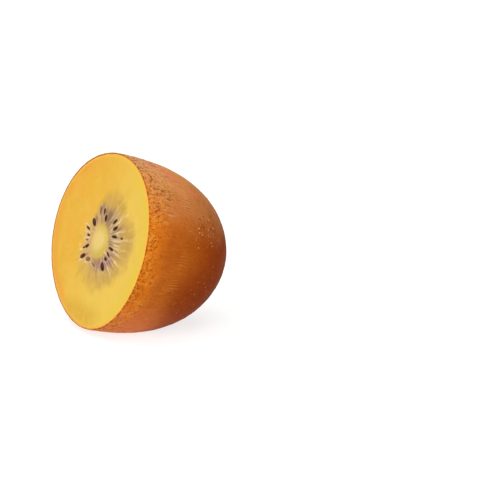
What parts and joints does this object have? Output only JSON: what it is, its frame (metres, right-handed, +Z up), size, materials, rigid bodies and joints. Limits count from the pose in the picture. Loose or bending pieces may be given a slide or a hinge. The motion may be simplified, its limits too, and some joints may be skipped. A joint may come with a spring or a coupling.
{
  "type": "golden kiwi fruit half",
  "caption": "Half of a golden kiwi fruit, cut across, lying on its side with its yellow flesh, pale core and dark seeds facing forward.",
  "frame": {"origin": "middle of the footprint's bounding box, at the height of the surface that the fruit rests on", "axes": "+Z up; the cut face looks towards -Y and leans back about 15 degrees; the whole end with the stem scar points towards +Y and slightly down"},
  "size_m": [0.0552, 0.0466, 0.052],
  "materials": {
    "skin": "matte",
    "flesh": "satin",
    "seed": "satin"
  },
  "bodies": {
    "root": {"kiwi_half": "skin"}
  },
  "joints": []
}
